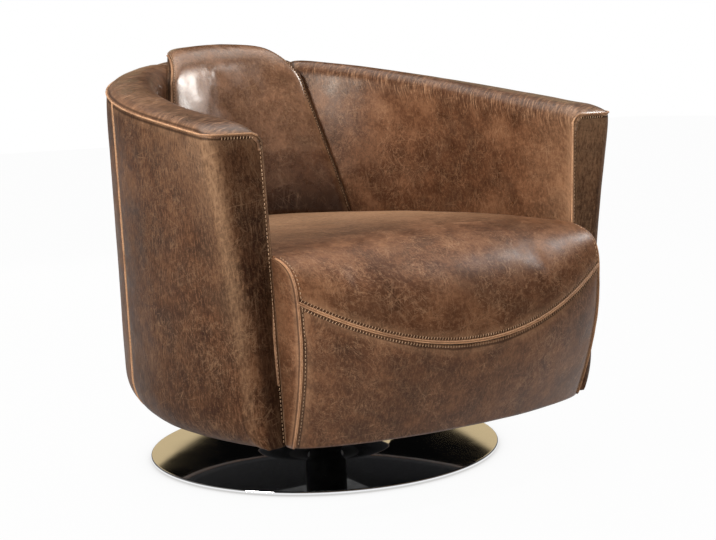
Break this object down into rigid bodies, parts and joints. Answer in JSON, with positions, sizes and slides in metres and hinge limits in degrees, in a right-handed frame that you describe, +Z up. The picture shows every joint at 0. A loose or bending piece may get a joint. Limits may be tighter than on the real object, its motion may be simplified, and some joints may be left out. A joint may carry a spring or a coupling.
{
  "type": "swivel tub chair",
  "caption": "Leather club chair: round tub back with flared arms, loose back cushion and deep rolled seat, turning on a polished disc base.",
  "frame": {"origin": "on the floor, under the swivel axis", "axes": "+Z up along the swivel axis, -Y towards the seat front, +X towards the sitter's left arm"},
  "size_m": [0.7874, 0.888, 0.76],
  "materials": {
    "brown_leather": "waxed, distressed, soft sheen",
    "polished_chrome": "mirror polished",
    "zinc_steel": "zinc plated",
    "black_enamel": "satin black",
    "white_nylon": "moulded",
    "black_rubber": "matt",
    "beech_timber": "planed, unfinished",
    "fibre_board": "bare fibre board",
    "cream_foam": "open cell foam",
    "grey_felt": "pressed felt",
    "black_cloth": "woven"
  },
  "bodies": {
    "base": {"base_pad": "black_rubber", "base_disc": "polished_chrome", "base_nut": "zinc_steel", "pedestal_column": "black_enamel", "lower_bush": "white_nylon", "upper_bush": "white_nylon", "thrust_washer": "zinc_steel"},
    "chair": {"inside_arm_leather_left": "brown_leather", "inside_arm_leather_right": "brown_leather", "inside_back_leather": "brown_leather", "outside_arm_leather_left": "brown_leather", "outside_arm_leather_right": "brown_leather", "outside_back_leather": "brown_leather", "seat_top_leather": "brown_leather", "seat_front_leather": "brown_leather", "seat_gusset_left": "brown_leather", "seat_gusset_right": "brown_leather", "cushion_front_leather": "brown_leather", "cushion_gusset_left": "brown_leather", "cushion_gusset_right": "brown_leather", "spindle": "zinc_steel", "retaining_ring": "zinc_steel", "plate_bolt_1": "zinc_steel", "plate_bolt_2": "zinc_steel", "plate_bolt_3": "zinc_steel", "plate_bolt_4": "zinc_steel", "seat_spring_1": "zinc_steel", "seat_spring_2": "zinc_steel", "seat_spring_3": "zinc_steel", "seat_spring_4": "zinc_steel", "seat_spring_5": "zinc_steel", "swivel_plate": "black_enamel", "cross_rail_front": "beech_timber", "cross_rail_rear": "beech_timber", "tub_foot_rail": "beech_timber", "tub_top_rail": "beech_timber", "seat_rail": "beech_timber", "arm_post_left": "beech_timber", "arm_post_right": "beech_timber", "back_post_left": "beech_timber", "back_post_right": "beech_timber", "arm_facing_left": "beech_timber", "arm_facing_right": "beech_timber", "front_rail": "beech_timber", "corner_block_left": "beech_timber", "corner_block_right": "beech_timber", "outside_arm_board_left": "fibre_board", "outside_arm_board_right": "fibre_board", "outside_back_board": "fibre_board", "arm_pad_left": "cream_foam", "arm_pad_right": "cream_foam", "back_pad": "cream_foam", "seat_foam": "cream_foam", "cushion_foam": "cream_foam", "spring_pad": "grey_felt", "dust_cover": "black_cloth", "cushion_lining": "black_cloth"}
  },
  "joints": [
    {"name": "seat_swivel", "type": "hinge", "parent": "base", "child": "chair", "pos_m": [0, 0, 0.11], "axis": [0, 0, 1], "continuous": true}
  ]
}
